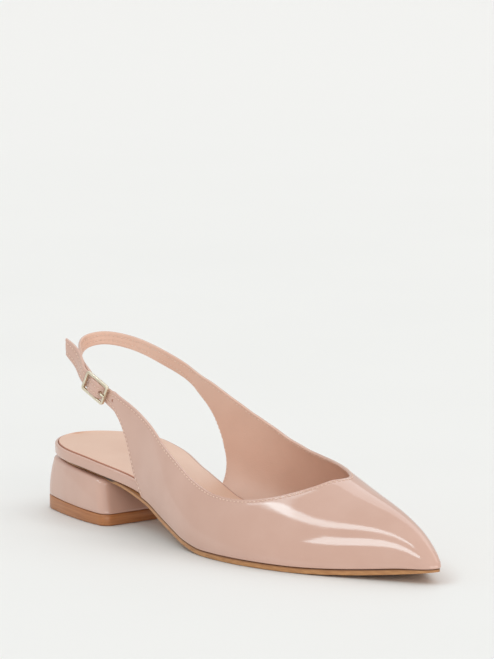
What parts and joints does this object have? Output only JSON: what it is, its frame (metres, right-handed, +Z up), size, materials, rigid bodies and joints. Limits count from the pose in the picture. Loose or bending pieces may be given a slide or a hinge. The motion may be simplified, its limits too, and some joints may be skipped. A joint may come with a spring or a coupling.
{
  "type": "slingback pump",
  "caption": "Women's slingback pump for the right foot in glossy nude patent leather, with a pointed toe, a low covered block heel and a buckled heel strap.",
  "frame": {"origin": "on the floor, under the middle of the shoe's box", "axes": "+X from heel to toe, +Y to the inner side of the foot, +Z up"},
  "size_m": [0.255, 0.0766, 0.0806],
  "materials": {
    "patent_leather": "high gloss patent, nude pink",
    "covered_board": "high gloss patent over fibre board, nude pink",
    "sock_leather": "soft satin, peach",
    "sole_leather": "natural tan, waxed edge",
    "covered_heel": "moulded block covered in high gloss patent leather",
    "top_piece_rubber": "satin, tan",
    "pale_gold": "polished, pale gold plate"
  },
  "bodies": {
    "root": {"upper": "patent_leather", "insole_board": "covered_board", "sock": "sock_leather", "outsole": "sole_leather", "heel": "covered_heel", "top_piece": "top_piece_rubber", "buckle": "pale_gold", "prong": "pale_gold"}
  },
  "joints": []
}
